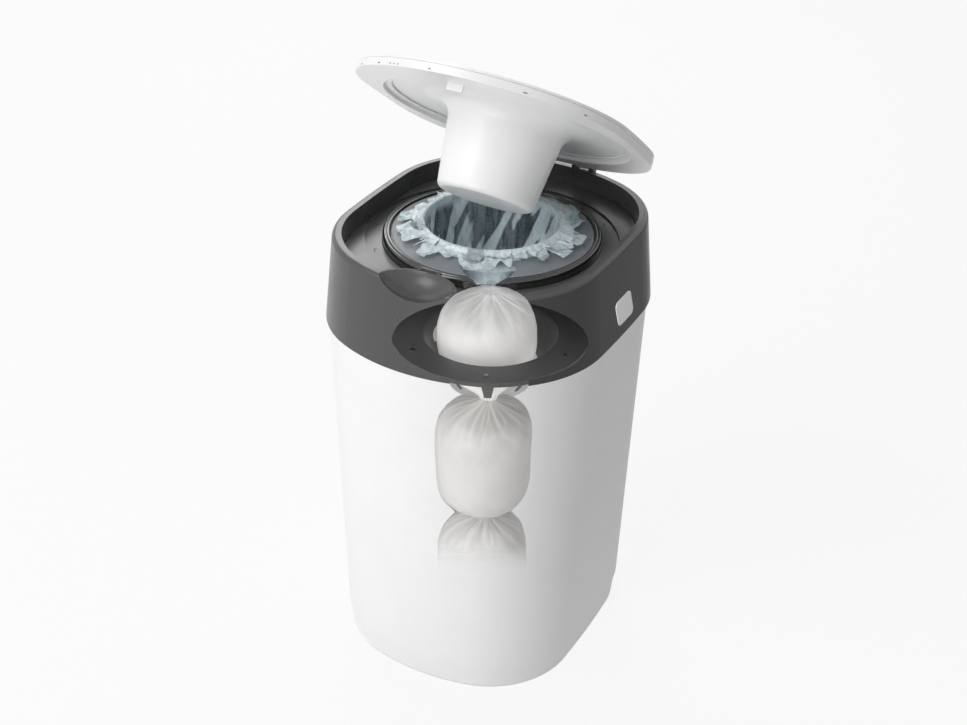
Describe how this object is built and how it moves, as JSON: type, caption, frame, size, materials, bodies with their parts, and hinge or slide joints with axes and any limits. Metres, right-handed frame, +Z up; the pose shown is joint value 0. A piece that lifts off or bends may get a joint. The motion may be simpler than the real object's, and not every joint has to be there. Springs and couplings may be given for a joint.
{
  "type": "nappy bin",
  "caption": "Free-standing nappy bin with a white tub, lift-off grey collar, hinged lid with a twisting plunger and a refill cassette that wraps nappies in film.",
  "frame": {"origin": "on the floor under the middle of the bin", "axes": "+Z up, -Y towards the front with the finger scoop, +Y towards the lid hinge, X across"},
  "size_m": [0.2712, 0.3152, 0.6183],
  "materials": {
    "white_plastic": "fine satin grain",
    "grey_plastic": "fine satin grain",
    "black_plastic": "smooth",
    "cassette_plastic": "translucent, smooth",
    "film": "thin translucent film, creased",
    "wrapped_nappy": "soft, wrapped in film",
    "steel": "drawn wire"
  },
  "bodies": {
    "tub": {"tub": "white_plastic"},
    "top_unit": {"collar_shell": "grey_plastic", "top_deck": "grey_plastic", "gripper_ring": "grey_plastic", "gripper_screws": "steel", "gripper_struts": "grey_plastic", "click_pawl": "grey_plastic", "hinge_pins": "steel", "left_button_spring": "steel", "right_button_spring": "steel", "parcel_upper": "wrapped_nappy", "parcel_middle": "wrapped_nappy", "parcel_lower": "wrapped_nappy"},
    "lid": {"lid_cover": "white_plastic", "lid_liner": "white_plastic"},
    "twist_dial": {"dial_plunger": "white_plastic", "dial_cap": "white_plastic"},
    "carrier": {"carrier_ring": "black_plastic", "cassette_tub": "cassette_plastic", "cassette_cover": "cassette_plastic", "film_pack": "film", "film_funnel": "film"},
    "left_button": {"left_release_button": "white_plastic"},
    "right_button": {"right_release_button": "white_plastic"}
  },
  "joints": [
    {"name": "top_unit_lift", "type": "slide", "parent": "tub", "child": "top_unit", "axis": [0, 0, 1], "range_m": [0, 0.2]},
    {"name": "lid_hinge", "type": "hinge", "parent": "top_unit", "child": "lid", "pos_m": [0, 0.143, 0.4445], "axis": [-1, 0, 0], "range_deg": [-35.5, 59]},
    {"name": "dial_twist", "type": "hinge", "parent": "lid", "child": "twist_dial", "pos_m": [0, 0.02745, 0.52876], "axis": [0, 0.5807, 0.8141], "continuous": true},
    {"name": "carrier_turn", "type": "hinge", "parent": "top_unit", "child": "carrier", "pos_m": [0, 0, 0.38], "axis": [0, 0, 1], "continuous": true},
    {"name": "left_press", "type": "slide", "parent": "top_unit", "child": "left_button", "axis": [1, 0, 0], "range_m": [0, 0.0035], "stiffness_N_per_m": 900, "springref_m": -0.0015, "deforming": ["left_button_spring"]},
    {"name": "right_press", "type": "slide", "parent": "top_unit", "child": "right_button", "axis": [-1, 0, 0], "range_m": [0, 0.0035], "stiffness_N_per_m": 900, "springref_m": -0.0015, "deforming": ["right_button_spring"]}
  ]
}
